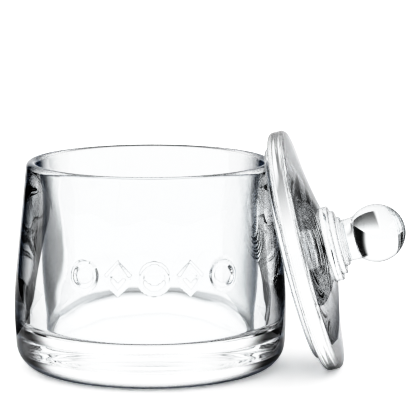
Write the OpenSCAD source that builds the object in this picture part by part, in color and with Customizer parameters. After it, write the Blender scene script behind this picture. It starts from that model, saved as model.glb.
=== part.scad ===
// Pressed-glass sugar bowl with a loose knobbed lid.
// Millimetres, +Z up. The origin is the centre of the bowl's flat base and -Y is its decorated front.
// The lid is drawn as it is left beside an open bowl: on its edge on the table, leaning on the rim.

/* [Bowl] */
// Overall height of the bowl
bowl_h = 80; // [70:1:90]
// Largest diameter, low on the belly
belly_d = 105; // [98:1:115]
// Outer diameter across the middle of the rolled rim
rim_d = 95.4; // [90:0.2:97]
// Thickness of the rolled rim
rim_t = 4.2; // [3:0.2:5]
// Inner radius of the cavity just above its floor corner
floor_corner_r = 40.8; // [38:0.2:42]
// Thickness of the solid glass base under the cavity
base_t = 15.6; // [8:0.2:18]
// Radius of the rounded corner between the cavity's floor and wall
cavity_fillet = 3.5; // [2:0.5:8]
// Radius of the rounded corner at the foot
foot_corner = 10; // [5:0.5:12]
// Radius of the slow curve from the belly to the foot and to the tapered wall
belly_curve = 139; // [100:1:180]
// Height of the bottom of the straight belly band
belly_z0 = 21; // [18:0.5:23]
// Height of the top of the straight belly band
belly_z1 = 24; // [23:0.5:28]

/* [Raised band] */
// Number of raised figures on the front
figures = 5; // [1:2:7]
// Angle from one figure to the next, in degrees
figure_pitch = 15; // [14:0.5:20]
// Height of the figures' centre line above the base
figure_z = 43.3; // [42:0.5:60]
// Height of the lozenges
figure_h = 12.6; // [8:0.2:13]
// Width of the lozenges
lozenge_w = 11; // [8:0.2:12]
// Outer diameter of the rings
ring_d = 11.6; // [8:0.2:12]
// Width of the raised line that draws a figure
line_w = 2.2; // [1.5:0.1:3]
// How far the figures stand out of the wall
relief = 0.7; // [0.3:0.1:1.5]

/* [Lid] */
// Diameter of the lid's plate
lid_d = 94; // [90:0.5:100]
// Thickness of the lid's plate at its edge
plate_t = 6.8; // [5:0.2:8]
// Radius of the plate's rounded edges
plate_corner = 2; // [1:0.25:2.5]
// Outer diameter of the ring that locates the lid in the rim
plug_d = 83; // [81:0.5:84]
// Inner diameter of that ring
plug_inner_d = 78.8; // [78:0.1:79.6]
// How far that ring stands out of the plate's underside
plug_h = 2.3; // [1.8:0.1:2.4]
// Height of the dome's inner end above the plate's top face
dome_rise = 5.4; // [4:0.1:7]
// Radius at which the dome ends and the steps begin
dome_r1 = 16; // [15:0.5:20]
// How far the middle of the dome's slope is hollowed below a straight line
dome_sag = 1.8; // [0:0.1:3]
// Radius of the neck between the steps and the ball
neck_r = 8.2; // [7:0.2:9]
// Diameter of the glass ball on top
knob_d = 22.4; // [18:0.2:24]
// Height of the ball's centre above the plate's mid-plane
knob_z = 27.8; // [26.5:0.1:30]

/* [Lid beside the bowl] */
// How far the lid's axis is tipped above the horizontal, in degrees
lean = 14.8; // [12:0.2:22]
// Direction that the lid faces, in degrees from +X
lean_az = -8; // [-30:1:30]
// Clear gap between the plate's underside and the rim
rim_gap = 0.4; // [0.4:0.1:2]

/* [Hidden] */
$fn = 96;
// Clear glass with a faint cool tint
GLASS = [0.88, 0.94, 0.94, 0.45];

// Rim: a rolled edge whose section is a circle
rim_r = rim_t / 2;
rim_c = [rim_d / 2 - rim_r, bowl_h - rim_r];

// Outer wall: corner arc, foot arc, straight belly, shoulder arc, straight taper
belly_c = belly_d / 2 - belly_curve;
foot_x = belly_c + sqrt(pow(belly_curve - foot_corner, 2) - pow(belly_z0 - foot_corner, 2));
foot_a = atan2(foot_corner - belly_z0, foot_x - belly_c);
rim_from_belly = [rim_d / 2 - belly_c, rim_c[1] - belly_z1];
taper_a = atan2(rim_from_belly[1], rim_from_belly[0]) - acos(belly_curve / norm(rim_from_belly));
taper_start = [belly_c + belly_curve * cos(taper_a), belly_z1 + belly_curve * sin(taper_a)];

// The figures are cut from prisms that reach this far inside and outside the belly
prism_in = 15;
prism_out = 10;
// How deep the raised band and the lid's steps are rooted in the glass below them
root = 2;

// Lid: heights are measured along its own axis from the plate's mid-plane
dome_r0 = lid_d / 2 - plate_corner;
// Radius and height of each step, from the dome up
collars = [[14.6, 3.1], [12.4, 1.9], [9.6, 1.7]];
// Rounded edges of the locating ring and of the steps, and the fillet where the neck meets the ball
plug_round = 0.8;
collar_round = 0.7;
neck_fillet = 2.6;

// Where the leaning lid's centre comes to lie
edge_r = lid_d / 2 - plate_corner;
edge_z = plate_t / 2 - plate_corner;
lid_cz = edge_r * cos(lean) + edge_z * sin(lean) + plate_corner;
lid_reach = (rim_c[1] - lid_cz) * sin(lean) + plate_t / 2 + rim_r + rim_gap;
lid_cx = rim_c[0] + lid_reach / cos(lean);

// Points along an arc about c, from angle a0 to angle a1
function arc(c, r, a0, a1, n = 12) =
    [for (i = [0:n]) let (a = a0 + (a1 - a0) * i / n) [c[0] + r * cos(a), c[1] + r * sin(a)]];

// Height of the dome's face at radius r: a straight rise with a shallow hollow
function dome_z(r) =
    let (s = (dome_r0 - r) / (dome_r0 - dome_r1))
    plate_t / 2 + dome_rise * s - dome_sag * s * (1 - s);

// Outer radius of the tapered wall at height z
function wall_r(z) =
    taper_start[0] + (rim_d / 2 - taper_start[0]) * (z - taper_start[1]) / (rim_c[1] - taper_start[1]);

// Sum of the collar heights below step k
function collar_base(k) = k == 0 ? dome_z(dome_r1) : collar_base(k - 1) + collars[k - 1][1];

module bowl_outline() {
    polygon(concat(
        [[0, 0]],
        arc([foot_x, foot_corner], foot_corner, -90, foot_a),
        arc([belly_c, belly_z0], belly_curve, foot_a, 0),
        arc([belly_c, belly_z1], belly_curve, 0, taper_a),
        [[rim_d / 2, rim_c[1]], [0, rim_c[1]]]
    ));
}

module cavity_outline() {
    fillet_c = [floor_corner_r - cavity_fillet, base_t + cavity_fillet];
    polygon(concat(
        [[0, base_t]],
        arc(fillet_c, cavity_fillet, -90, 0),
        [[rim_c[0] - rim_r, rim_c[1]], [0, rim_c[1]]]
    ));
}

module bowl_body() {
    rotate_extrude() {
        difference() {
            bowl_outline();
            cavity_outline();
        }
        translate(rim_c) circle(r = rim_r);
    }
}

module raised_ring() {
    difference() {
        circle(d = ring_d);
        circle(d = ring_d - 2 * line_w);
    }
}

module raised_lozenge() {
    corners = [[lozenge_w / 2, 0], [0, figure_h / 2], [-lozenge_w / 2, 0], [0, -figure_h / 2]];
    inner = 1 - line_w * norm([lozenge_w, figure_h]) * 2 / (lozenge_w * figure_h);
    difference() {
        polygon(corners);
        polygon(corners * inner);
    }
}

module raised_figures() {
    top = figure_z + figure_h;
    low = figure_z - figure_h;
    intersection() {
        for (i = [0:figures - 1]) {
            rotate([0, 0, (i - (figures - 1) / 2) * figure_pitch])
                translate([0, prism_in - belly_d / 2, figure_z])
                rotate([90, 0, 0])
                linear_extrude(prism_in + prism_out) {
                    if (i % 2 == 0) raised_ring();
                    else raised_lozenge();
                }
        }
        rotate_extrude() polygon([
            [wall_r(low) - root, low],
            [wall_r(low) + relief, low],
            [wall_r(top) + relief, top],
            [wall_r(top) - root, top]
        ]);
    }
}

module bowl() {
    color(GLASS) union() {
        bowl_body();
        raised_figures();
    }
}

// Half section of a disc between heights z0 and z1, with round edges
module disc_section(r, z0, z1, round) {
    polygon(concat(
        [[0, z0]],
        arc([r - round, z0 + round], round, -90, 0, 6),
        arc([r - round, z1 - round], round, 0, 90, 6),
        [[0, z1]]
    ));
}

// Locating ring under the plate, with two rounded lower edges
module plug_section() {
    r0 = plug_inner_d / 2;
    r1 = plug_d / 2;
    z0 = -plate_t / 2 - plug_h;
    polygon(concat(
        [[r0, 0]],
        arc([r0 + plug_round, z0 + plug_round], plug_round, 180, 270, 4),
        arc([r1 - plug_round, z0 + plug_round], plug_round, 270, 360, 4),
        [[r1, 0]]
    ));
}

module lid_section() {
    disc_section(lid_d / 2, -plate_t / 2, plate_t / 2, plate_corner);
    plug_section();
    // dome, hollowed like a wide bell
    polygon(concat(
        [[0, 0], [dome_r0, 0]],
        [for (i = [0:12]) let (r = dome_r0 + (dome_r1 - dome_r0) * i / 12) [r, dome_z(r)]],
        [[0, dome_z(dome_r1)]]
    ));
    // three steps, each narrower than the last
    for (k = [0:len(collars) - 1])
        disc_section(collars[k][0], collar_base(k) - root, collar_base(k) + collars[k][1], collar_round);
    neck_section();
    intersection() {
        translate([0, knob_z]) circle(d = knob_d);
        translate([0, knob_z - knob_d]) square([knob_d, 2 * knob_d]);
    }
}

// Neck between the top step and the ball, filled out where it meets the ball
module neck_section() {
    ball_r = knob_d / 2;
    meet_z = knob_z - sqrt(pow(ball_r + neck_fillet, 2) - pow(neck_r + neck_fillet, 2));
    meet_a = atan2(knob_z - meet_z, -(neck_r + neck_fillet));
    polygon(concat(
        [[0, collar_base(len(collars) - 1)], [neck_r, collar_base(len(collars) - 1)]],
        arc([neck_r + neck_fillet, meet_z], neck_fillet, 180, meet_a, 6),
        [[0, knob_z]]
    ));
}

module lid() {
    color(GLASS)
        rotate([0, 0, lean_az])
        translate([lid_cx, 0, lid_cz])
        rotate([0, 90 - lean, 0])
        rotate_extrude() lid_section();
}

bowl();
lid();
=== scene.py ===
"""Looks of a pressed-glass sugar bowl with its lid leaning on the rim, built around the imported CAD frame.

Everything is in metres, in the frame of the CAD: +Z up, origin at the centre of the bowl's base, and
the front at -Y.
"""

import math

import bpy
import numpy as np
from mathutils import Matrix, Vector


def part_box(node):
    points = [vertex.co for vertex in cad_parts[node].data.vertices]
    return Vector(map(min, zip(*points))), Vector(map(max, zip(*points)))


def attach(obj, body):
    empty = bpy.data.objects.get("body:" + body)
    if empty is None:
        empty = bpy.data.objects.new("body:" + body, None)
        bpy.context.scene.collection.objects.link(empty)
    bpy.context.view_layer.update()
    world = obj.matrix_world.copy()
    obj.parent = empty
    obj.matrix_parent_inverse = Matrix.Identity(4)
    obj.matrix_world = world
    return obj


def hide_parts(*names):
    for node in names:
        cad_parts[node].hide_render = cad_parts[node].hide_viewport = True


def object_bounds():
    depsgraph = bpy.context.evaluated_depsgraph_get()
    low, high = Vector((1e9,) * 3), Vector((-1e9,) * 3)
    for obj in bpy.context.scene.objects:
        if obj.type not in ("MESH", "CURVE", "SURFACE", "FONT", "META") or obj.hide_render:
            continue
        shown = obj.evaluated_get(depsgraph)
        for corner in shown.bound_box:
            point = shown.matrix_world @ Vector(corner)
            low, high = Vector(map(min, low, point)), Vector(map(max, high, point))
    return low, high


MM = 0.001
# Points closer together than this are one point
SAME_POINT = 1e-7
# Slack in comparing radii
SLACK = 1e-6

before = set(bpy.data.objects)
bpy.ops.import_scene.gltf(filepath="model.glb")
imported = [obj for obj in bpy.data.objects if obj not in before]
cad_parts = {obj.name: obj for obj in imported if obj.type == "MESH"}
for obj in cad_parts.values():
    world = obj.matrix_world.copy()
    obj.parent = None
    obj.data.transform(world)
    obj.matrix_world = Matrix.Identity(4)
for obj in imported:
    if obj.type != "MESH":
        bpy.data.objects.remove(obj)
cad_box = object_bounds()

# ---------------------------------------------------------------- driving sizes

bowl_low, bowl_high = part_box("bowl")

BOWL_H = bowl_high.z
BELLY_R = (bowl_high.x - bowl_low.x) / 2
# Outer radius across the middle of the rolled rim, and the radius of its round section
RIM_R = 47.7 * MM
RIM_ROUND = 2.1 * MM
# Solid glass under the cavity, and the cavity's radius and fillet at its floor
BASE_T = 15.6 * MM
FLOOR_CORNER_R = 40.8 * MM
CAVITY_FILLET = 3.5 * MM
# Corner at the foot, the slow curve above and below the belly, and the straight band between
FOOT_CORNER = 10 * MM
BELLY_CURVE = 139 * MM
BELLY_Z = (21 * MM, 24 * MM)

# Raised figures: rings and lozenges drawn by a raised line
FIGURES = 5
FIGURE_PITCH = math.radians(15)
FIGURE_Z = 43.3 * MM
FIGURE_H = 12.6 * MM
LOZENGE_W = 11 * MM
RING_D = 11.6 * MM
LINE_W = 2.2 * MM
RELIEF = 0.7 * MM
# How far the line's foot spreads past its width, and how wide its soft flank is
LINE_SPREAD = 0.2 * MM
LINE_FLANK = 0.9 * MM
# The outer wall at the height of the figures lies outside this radius, and the cavity inside it
OUTSIDE_R = RIM_R - 0.3 * MM

# Unevenness of the cavity wall: cycles round the bowl and up it, depth of each, and how fast it
# grows from the cavity's floor and from the rim
WAVES = ((3, 1), (5, 2), (8, 1), (11, 3), (14, 2))
WAVE_DEPTH = 0.05 * MM
WAVE_SEED = 5
WAVE_GROWTH = (6, 5)

# Lid: plate, locating ring under it, dome, three steps, neck and ball
LID_R = 47 * MM
PLATE_T = 6.8 * MM
PLATE_CORNER = 2 * MM
PLUG_R = (39.4 * MM, 41.5 * MM)
PLUG_H = 2.3 * MM
PLUG_ROUND = 0.8 * MM
DOME_R = (45 * MM, 16 * MM)
DOME_RISE = 5.4 * MM
DOME_SAG = 1.8 * MM
COLLARS = ((14.6 * MM, 3.1 * MM), (12.4 * MM, 1.9 * MM), (9.6 * MM, 1.7 * MM))
COLLAR_ROUND = 0.7 * MM
NECK_R = 8.2 * MM
NECK_FILLET = 2.6 * MM
BALL_R = 11.2 * MM
BALL_Z = 27.8 * MM

# How the lid leans on the rim
LEAN = math.radians(14.8)
LEAN_AZ = math.radians(-8)
RIM_GAP = 0.4 * MM

# Mesh density: longest steps along the outlines, and steps round the turned bodies
WALL_STEP = 0.9 * MM
CAVITY_STEP = 1 * MM
FLOOR_STEP = 3 * MM
BASE_STEP = 4 * MM
LID_STEP = 1.2 * MM
FRONT_SPAN = math.radians(40)
FRONT_COUNT = 280
BACK_COUNT = 180
LID_COUNT = 320


# ---------------------------------------------------------------- outlines

def arc(centre, radius, start, end, steps):
    """Points along an arc, angles in degrees."""
    angles = np.radians(np.linspace(start, end, steps + 1))
    return [(centre[0] + radius * math.cos(a), centre[1] + radius * math.sin(a)) for a in angles]


def spaced(points, step):
    """The outline with no stretch longer than step, and no repeated point."""
    out = [points[0]]
    for p in points[1:]:
        q = out[-1]
        length = math.dist(p, q)
        if length < SAME_POINT:
            continue
        n = max(1, math.ceil(length / step))
        out += [(q[0] + (p[0] - q[0]) * k / n, q[1] + (p[1] - q[1]) * k / n) for k in range(1, n + 1)]
    return out


def bowl_outline():
    """Half section from the axis under the base, round the outside and the rim, to the cavity floor."""
    belly_c = BELLY_R - BELLY_CURVE
    foot_x = belly_c + math.sqrt((BELLY_CURVE - FOOT_CORNER) ** 2 - (BELLY_Z[0] - FOOT_CORNER) ** 2)
    foot_a = math.degrees(math.atan2(FOOT_CORNER - BELLY_Z[0], foot_x - belly_c))
    rim_c = (RIM_R - RIM_ROUND, BOWL_H - RIM_ROUND)
    to_rim = (RIM_R - belly_c, rim_c[1] - BELLY_Z[1])
    taper_a = math.degrees(math.atan2(to_rim[1], to_rim[0]) - math.acos(BELLY_CURVE / math.hypot(*to_rim)))
    outside = (
        arc((foot_x, FOOT_CORNER), FOOT_CORNER, -90, foot_a, 24)
        + arc((belly_c, BELLY_Z[0]), BELLY_CURVE, foot_a, 0, 12)
        + arc((belly_c, BELLY_Z[1]), BELLY_CURVE, 0, taper_a, 10)
    )
    rim = arc(rim_c, RIM_ROUND, 0, 180, 28)
    inside = arc((FLOOR_CORNER_R - CAVITY_FILLET, BASE_T + CAVITY_FILLET), CAVITY_FILLET, 0, -90, 16)
    base = spaced([(0, 0), outside[0]], BASE_STEP)
    wall = spaced(outside + [rim[0]], WALL_STEP)
    cavity = spaced([rim[-1]] + inside, CAVITY_STEP)
    floor = spaced([inside[-1], (0, BASE_T)], FLOOR_STEP)
    return base[:-1] + wall[:-1] + rim[:-1] + cavity[:-1] + floor


def dome_z(r):
    """Height of the dome's face at radius r: a straight rise with a shallow hollow."""
    s = (DOME_R[0] - r) / (DOME_R[0] - DOME_R[1])
    return PLATE_T / 2 + DOME_RISE * s - DOME_SAG * s * (1 - s)


def lid_outline():
    """Half section of the lid about its own axis, from the underside's middle to the top of the ball."""
    under, top = -PLATE_T / 2, PLATE_T / 2
    low = under - PLUG_H
    edge = LID_R - PLATE_CORNER
    points = [(0, under), (PLUG_R[0], under)]
    points += arc((PLUG_R[0] + PLUG_ROUND, low + PLUG_ROUND), PLUG_ROUND, 180, 270, 6)
    points += arc((PLUG_R[1] - PLUG_ROUND, low + PLUG_ROUND), PLUG_ROUND, 270, 360, 6)
    points += [(PLUG_R[1], under)]
    points += arc((edge, under + PLATE_CORNER), PLATE_CORNER, -90, 0, 8)
    points += arc((edge, top - PLATE_CORNER), PLATE_CORNER, 0, 90, 8)
    points += [(r, dome_z(r)) for r in np.linspace(*DOME_R, 24)]
    z = dome_z(DOME_R[1])
    for radius, height in COLLARS:
        points.append((radius, z))
        points += arc((radius - COLLAR_ROUND, z + height - COLLAR_ROUND), COLLAR_ROUND, 0, 90, 6)
        z += height
    points.append((NECK_R, z))
    meet_z = BALL_Z - math.sqrt((BALL_R + NECK_FILLET) ** 2 - (NECK_R + NECK_FILLET) ** 2)
    meet_a = math.degrees(math.atan2(BALL_Z - meet_z, -(NECK_R + NECK_FILLET)))
    points += arc((NECK_R + NECK_FILLET, meet_z), NECK_FILLET, 180, meet_a, 8)
    points += arc((0, BALL_Z), BALL_R, meet_a - 180, 90, 44)
    return spaced(points, LID_STEP)


# ---------------------------------------------------------------- turned meshes

def turned(name, outline, angles, shift=None):
    """A closed turned body. shift(radius, height, turn) gives how far each point moves outward."""
    rings = [p for p in outline if p[0] > SAME_POINT]
    radius = np.array([p[0] for p in rings])[:, None]
    height = np.array([p[1] for p in rings])[:, None]
    turn = np.asarray(angles)[None, :]
    if shift is not None:
        radius = radius + shift(radius, height, turn)
    radius = radius + 0 * turn
    points = np.stack([radius * np.sin(turn), -radius * np.cos(turn), height + 0 * turn], -1)
    count = len(angles)
    verts = [(0, 0, outline[0][1]), (0, 0, outline[-1][1])] + [tuple(p) for p in points.reshape(-1, 3)]
    first, last = 2, 2 + (len(rings) - 1) * count
    faces = []
    for k in range(len(rings) - 1):
        row = 2 + k * count
        for i in range(count):
            j = (i + 1) % count
            faces.append((row + i, row + j, row + count + j, row + count + i))
    for i in range(count):
        j = (i + 1) % count
        faces.append((0, first + j, first + i))
        faces.append((1, last + i, last + j))
    mesh = bpy.data.meshes.new(name)
    mesh.from_pydata(verts, [], faces)
    mesh.validate()
    mesh.shade_smooth()
    obj = bpy.data.objects.new(name, mesh)
    bpy.context.scene.collection.objects.link(obj)
    return obj


def smooth_step(x):
    x = np.clip(x, 0, 1)
    return x * x * (3 - 2 * x)


def figure_distance(x, z, kind):
    """Distance from the centre line of a raised ring (kind 0) or lozenge (kind 1)."""
    if kind == 0:
        return np.abs(np.hypot(x, z) - (RING_D - LINE_W) / 2)
    a, b = LOZENGE_W / 2, FIGURE_H / 2
    inner = a * b / math.hypot(a, b) - LINE_W / 2
    level = (np.abs(x) * b + np.abs(z) * a) / math.hypot(a, b)
    return np.abs(level - inner)


def relief(radius, height, turn):
    """How far the raised figures lift the outer wall."""
    lift = 0 * (radius + turn)
    for i in range(FIGURES):
        x = (turn - (i - (FIGURES - 1) / 2) * FIGURE_PITCH) * radius
        away = figure_distance(x, height - FIGURE_Z, i % 2)
        lift = np.maximum(lift, smooth_step((LINE_W / 2 + LINE_SPREAD - away) / LINE_FLANK))
    return RELIEF * lift


def mould_waves(height, turn):
    """Slow unevenness that pressing leaves on the cavity wall, fading out at the floor and the rim."""
    rng = np.random.default_rng(WAVE_SEED)
    low = BASE_T + CAVITY_FILLET
    up = (height - low) / (BOWL_H - RIM_ROUND - low)
    wave = 0 * (height + turn)
    for around, rise in WAVES:
        phase = rng.uniform(0, 2 * math.pi, 2)
        wave = wave + np.cos(around * turn + phase[0]) * np.cos(rise * math.pi * up + phase[1])
    from_floor, from_rim = WAVE_GROWTH
    return WAVE_DEPTH * wave * smooth_step(up * from_floor) * smooth_step((1 - up) * from_rim)


def bowl_shift(radius, height, turn):
    """How far each point of the bowl moves out: the figures on the outside, the waves in the cavity."""
    outer = radius > OUTSIDE_R
    cavity = (radius > FLOOR_CORNER_R - SLACK) & (radius < RIM_R - 2 * RIM_ROUND + SLACK)
    return np.where(outer, relief(radius, height, turn), np.where(cavity, mould_waves(height, turn), 0))


def front_angles():
    """Angles round the bowl, close together across the raised figures."""
    front = np.linspace(-FRONT_SPAN, FRONT_SPAN, FRONT_COUNT, endpoint=False)
    rest = np.linspace(FRONT_SPAN, 2 * math.pi - FRONT_SPAN, BACK_COUNT, endpoint=False)
    return np.concatenate([front, rest])


def make_bowl():
    obj = turned("bowl_glass", bowl_outline(), front_angles(), bowl_shift)
    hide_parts("bowl")
    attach(obj, "bowl")
    return obj


def lid_matrix():
    """Where the leaning lid lies: its edge on the table, its underside facing the rim across the gap."""
    edge_r, edge_z = LID_R - PLATE_CORNER, PLATE_T / 2 - PLATE_CORNER
    cz = edge_r * math.cos(LEAN) + edge_z * math.sin(LEAN) + PLATE_CORNER
    rim_c = (RIM_R - RIM_ROUND, BOWL_H - RIM_ROUND)
    reach = (rim_c[1] - cz) * math.sin(LEAN) + PLATE_T / 2 + RIM_ROUND + RIM_GAP
    cx = rim_c[0] + reach / math.cos(LEAN)
    return (
        Matrix.Rotation(LEAN_AZ, 4, "Z")
        @ Matrix.Translation((cx, 0, cz))
        @ Matrix.Rotation(math.pi / 2 - LEAN, 4, "Y")
    )


def make_lid():
    obj = turned("lid_glass", lid_outline(), np.linspace(0, 2 * math.pi, LID_COUNT, endpoint=False))
    obj.data.transform(lid_matrix())
    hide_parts("lid")
    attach(obj, "lid")
    return obj


# ---------------------------------------------------------------- material nodes

def new_material(name):
    mat = bpy.data.materials.new(name)
    mat.use_nodes = True
    return mat


def node(mat, kind, **inputs):
    """Adds a node to a material and sets its sockets."""
    made = mat.node_tree.nodes.new(kind)
    for socket, value in inputs.items():
        made.inputs[socket].default_value = value
    return made


def mapped(mat, source, low, high, start, end, soft=True):
    """Adds a ramp from start to end as a socket's value goes from low to high, and returns its output."""
    ends = {"From Min": low, "From Max": high, "To Min": start, "To Max": end}
    ramp = node(mat, "ShaderNodeMapRange", **ends)
    ramp.interpolation_type = "SMOOTHSTEP" if soft else "LINEAR"
    mat.node_tree.links.new(source, ramp.inputs["Value"])
    return ramp.outputs["Result"]


def combined(mat, operation, first, second):
    """Adds a math node on two outputs and returns its own."""
    made = mat.node_tree.nodes.new("ShaderNodeMath")
    made.operation = operation
    mat.node_tree.links.new(first, made.inputs[0])
    mat.node_tree.links.new(second, made.inputs[1])
    return made.outputs[0]


def split(mat, vector):
    """The X, Y and Z outputs of a vector socket."""
    made = node(mat, "ShaderNodeSeparateXYZ")
    mat.node_tree.links.new(vector, made.inputs[0])
    return made.outputs


def facing(mat):
    """0 where a surface is seen straight on, 1 where it is seen edge on."""
    return node(mat, "ShaderNodeLayerWeight", Blend=0.5).outputs["Facing"]


def object_place(mat):
    return node(mat, "ShaderNodeTexCoord").outputs["Object"]


# ---------------------------------------------------------------- glass

GLASS_IOR = 1.51
GLASS_TINT = (0.985, 0.995, 1.0)
# Painted shade that darkens the glass towards its outlines, and over which facing it comes in on each piece
PAINTED_EDGE_SHADE = (0.012, 0.017, 0.026)
BOWL_EDGE = (0.34, 0.77)
LID_EDGE = (0.5, 0.93)
# The cavity's floor keeps clear of that painted shade: how level a face is, and how high above the floor
LEVEL_NORMAL = (0.85, 0.99)
LEVEL_RISE = (1 * MM, 3 * MM)
# Faint smears in the gloss, and the ripple of the pressed skin
SMEAR = {"Scale": 90, "Detail": 3, "Roughness": 0.6}
SMEAR_RANGE = (0.5, 0.8)
SMEAR_ROUGHNESS = 0.03
RIPPLE = {"Scale": 70, "Detail": 1, "Roughness": 0.4}
RIPPLE_BUMP = {"Strength": 0.25, "Distance": 0.1 * MM}


def painted_edge_shade(mat, place, edge, floor_z):
    """How far painted shade darkens the glass towards its outlines, from 0 to 1. Level faces up to floor_z
    stay clear.
    """
    tone = mapped(mat, facing(mat), *edge, 0, 1)
    if floor_z is None:
        return tone
    normal = node(mat, "ShaderNodeNewGeometry").outputs["Normal"]
    tilted = mapped(mat, split(mat, normal)["Z"], *LEVEL_NORMAL, 1, 0)
    low, high = LEVEL_RISE
    above = mapped(mat, split(mat, place)["Z"], floor_z + low, floor_z + high, 0, 1)
    return combined(mat, "MULTIPLY", tone, combined(mat, "MAXIMUM", tilted, above))


def glass_material(name, edge, floor_z=None):
    """Fire-polished soda-lime glass: painted shade darkening its outlines, faint smears in its gloss, a
    rippled skin.
    """
    mat = new_material(name)
    links = mat.node_tree.links
    shader = mat.node_tree.nodes["Principled BSDF"]
    shader.inputs["IOR"].default_value = GLASS_IOR
    shader.inputs["Transmission Weight"].default_value = 1.0
    place = object_place(mat)

    # Painted shade: the base colour turns near black towards the outlines
    tone = node(mat, "ShaderNodeMixRGB", Color1=(*GLASS_TINT, 1), Color2=(*PAINTED_EDGE_SHADE, 1))
    links.new(painted_edge_shade(mat, place, edge, floor_z), tone.inputs["Fac"])
    links.new(tone.outputs["Color"], shader.inputs["Base Color"])

    smear = node(mat, "ShaderNodeTexNoise", **SMEAR)
    links.new(place, smear.inputs["Vector"])
    gloss = mapped(mat, smear.outputs[0], *SMEAR_RANGE, 0, SMEAR_ROUGHNESS, soft=False)
    links.new(gloss, shader.inputs["Roughness"])

    ripple = node(mat, "ShaderNodeTexNoise", **RIPPLE)
    links.new(place, ripple.inputs["Vector"])
    bump = node(mat, "ShaderNodeBump", **RIPPLE_BUMP)
    links.new(ripple.outputs[0], bump.inputs["Height"])
    links.new(bump.outputs["Normal"], shader.inputs["Normal"])
    return mat


# ---------------------------------------------------------------- camera and floor

# Where the camera stands, which way it looks, and its lens and sensor in millimetres
CAMERA_AT = Vector((-27.5, -999.9, 219.8)) * MM
CAMERA_LOOK = Vector((0.0491, 0.9865, -0.1565))
FOCAL = 227.6
SENSOR = 36
# Nearest and furthest distance that it sees
CLIP = (0.01, 50)

# Half the floor's side, how far it lies under the base, and its white to the glass and to the camera
FLOOR_HALF = 12
FLOOR_DROP = 0.15 * MM
FLOOR_WHITE = 0.9
FLOOR_LIFT = 1.5
FLOOR_ROUGHNESS = 0.8


def make_camera():
    data = bpy.data.cameras.new("camera")
    data.sensor_width, data.lens = SENSOR, FOCAL
    data.clip_start, data.clip_end = CLIP
    cam = bpy.data.objects.new("camera", data)
    cam.location = CAMERA_AT
    cam.rotation_mode = "QUATERNION"
    cam.rotation_quaternion = CAMERA_LOOK.to_track_quat("-Z", "Y")
    bpy.context.scene.collection.objects.link(cam)
    bpy.context.scene.camera = cam


def face(name, corners, material):
    """One flat stage sheet."""
    mesh = bpy.data.meshes.new(name)
    mesh.from_pydata(corners, [], [tuple(range(len(corners)))])
    obj = bpy.data.objects.new(name, mesh)
    mesh.materials.append(material)
    bpy.context.scene.collection.objects.link(obj)
    return obj


def floor_material():
    """Matt white, lighter to the camera than to the glass."""
    mat = new_material("floor_white")
    shader = mat.node_tree.nodes["Principled BSDF"]
    shader.inputs["Roughness"].default_value = FLOOR_ROUGHNESS
    shader.inputs["Specular IOR Level"].default_value = 0.0
    seen = node(mat, "ShaderNodeLightPath").outputs["Is Camera Ray"]
    white = mapped(mat, seen, 0, 1, FLOOR_WHITE, FLOOR_LIFT, soft=False)
    mat.node_tree.links.new(white, shader.inputs["Base Color"])
    return mat


def make_floor():
    far = FLOOR_HALF
    corners = [(-far, -far), (far, -far), (far, far), (-far, far)]
    face("floor", [(x, y, -FLOOR_DROP) for x, y in corners], floor_material())


# ---------------------------------------------------------------- flags, cards of painted shade and a sheet of painted light

# Brightness of the white studio all round
WORLD = 1.1

# Upright black flags at both sides of the object's middle, and where they fade into the studio's white
FLAG_SIDE = 0.18
FLAG_DEPTH = (0.04, 0.35)
FLAG_TOP = 0.26
FLAG_FADE_Y = (0.2, 0.35)
FLAG_FADE_Z = (0.2, 0.26)

# Painted shade: dim cards on the floor under the flags, standing for the floor's shade there
CARD_DEPTH = (0.05, 0.35)
CARD_INNER = (-0.085, 0.07)
CARD_OUTER = 0.4
CARD_Z = 0.2 * MM
CARD_FADE_X = 0.012
CARD_FADE_Y = (0.0, 0.26)
CARD_PAINTED_SHADE = 0.08

# Painted light: a glowing sheet that stands for a lit table, a half disc under the front of the bowl and a
# strip that widens behind it
GLOW_R = 0.041
GLOW_POINTS = 24
GLOW_HALF = 0.06
GLOW_BACK = 0.17
GLOW_DROP = 0.05 * MM
# The facing over which its painted light brightens from GLOW_DIM to GLOW, and its painted brightness under
# the bowl, which ends between the two places in GLOW_UNDER_Y
GLOW_FACING = (0.15, 0.45)
GLOW_DIM = 0.05
GLOW = 1.0
GLOW_UNDER = 0.9
GLOW_UNDER_Y = (0.036, 0.046)


def only_in_glass(sheet):
    sheet.visible_camera = False
    sheet.visible_diffuse = False
    sheet.visible_shadow = False


def glow_from(mat, strength):
    """Makes a material glow white as strongly as an output says."""
    glow = node(mat, "ShaderNodeEmission")
    mat.node_tree.links.new(strength, glow.inputs["Strength"])
    mat.node_tree.links.new(glow.outputs[0], mat.node_tree.nodes["Material Output"].inputs["Surface"])


def shade_material(name, dim, first, second):
    """A dim sheet that is as bright as the studio past its two fades, each an axis, a start and an end."""
    mat = new_material(name)
    place = split(mat, object_place(mat))
    fades = [mapped(mat, place[axis], start, end, dim, WORLD) for axis, start, end in (first, second)]
    glow_from(mat, combined(mat, "MAXIMUM", *fades))
    return mat


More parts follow.
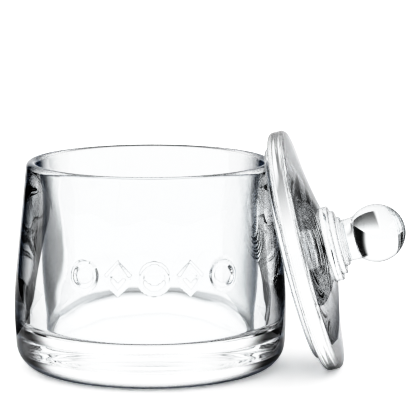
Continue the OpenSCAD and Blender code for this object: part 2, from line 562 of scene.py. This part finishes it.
def make_flags():
    """Black flags at both sides of the object, and dim cards of painted floor shade under them, all seen
    only in glass.
    """
    middle = (cad_box[0] + cad_box[1]) / 2
    (near, far), (card_near, card_far) = FLAG_DEPTH, CARD_DEPTH
    black = shade_material("flag_black", 0.0, ("Y", *FLAG_FADE_Y), ("Z", *FLAG_FADE_Z))
    for side, inner, label in ((-1, CARD_INNER[0], "left"), (1, CARD_INNER[1], "right")):
        x, outer = side * FLAG_SIDE, side * CARD_OUTER
        flag = [(x, near, 0), (x, far, 0), (x, far, FLAG_TOP), (x, near, FLAG_TOP)]
        card = [(inner, card_near), (outer, card_near), (outer, card_far), (inner, card_far)]
        inner_fade = ("X", inner + side * CARD_FADE_X, inner)
        # Painted shade: each card is dim beyond its inner edge and near the bowl, and fades to the studio's
        # white
        dim = shade_material("painted_shade_card_" + label, CARD_PAINTED_SHADE, ("Y", *CARD_FADE_Y), inner_fade)
        for sheet in (
            face("flag_" + label, flag, black),
            face("painted_shade_card_" + label, [(px, py, CARD_Z) for px, py in card], dim),
        ):
            sheet.location = (middle.x, middle.y, 0)
            only_in_glass(sheet)


def painted_light_material():
    """Painted light: a glowing sheet, bright under the bowl and, behind it, only where it is seen at a low
    angle.
    """
    mat = new_material("painted_floor_light")
    low_angle = mapped(mat, facing(mat), *GLOW_FACING, GLOW_DIM, GLOW, soft=False)
    under = mapped(mat, split(mat, object_place(mat))["Y"], *GLOW_UNDER_Y, GLOW_UNDER, 0)
    glow_from(mat, combined(mat, "MAXIMUM", low_angle, under))
    return mat


def make_painted_floor_light():
    """Painted light under and behind the bowl, a glowing sheet standing for a lit table, seen only through
    the glass.
    """
    turn = np.linspace(math.pi, 2 * math.pi, GLOW_POINTS)
    front = [(GLOW_R * math.cos(a), GLOW_R * math.sin(a), -GLOW_DROP) for a in turn]
    back = [(GLOW_HALF, GLOW_BACK, -GLOW_DROP), (-GLOW_HALF, GLOW_BACK, -GLOW_DROP)]
    only_in_glass(face("painted_floor_light", front + back, painted_light_material()))


# ---------------------------------------------------------------- world and view

# Points on the view's tone curve
CONTRAST = ((0.2, 0.045), (0.5, 0.42), (0.8, 0.88))
GLASS_BOUNCES = 24
GLOSS_BOUNCES = 16
DIFFUSE_BOUNCES = 3


def make_world():
    world = bpy.data.worlds.new("studio")
    bpy.context.scene.world = world
    world.use_nodes = True
    back = world.node_tree.nodes["Background"]
    back.inputs["Color"].default_value = (1, 1, 1, 1)
    back.inputs["Strength"].default_value = WORLD


def set_view():
    scene = bpy.context.scene
    scene.view_settings.view_transform = "Standard"
    scene.view_settings.use_curve_mapping = True
    tone = scene.view_settings.curve_mapping
    for x, y in CONTRAST:
        tone.curves[3].points.new(x, y)
    tone.update()
    scene.cycles.max_bounces = GLASS_BOUNCES
    scene.cycles.transmission_bounces = GLASS_BOUNCES
    scene.cycles.glossy_bounces = GLOSS_BOUNCES
    scene.cycles.diffuse_bounces = DIFFUSE_BOUNCES


bowl = make_bowl()
lid = make_lid()
bowl.data.materials.append(glass_material("bowl_glass", BOWL_EDGE, BASE_T))
lid.data.materials.append(glass_material("lid_glass", LID_EDGE))

make_camera()
make_floor()
make_flags()
make_painted_floor_light()
make_world()
set_view()

bpy.context.view_layer.update()
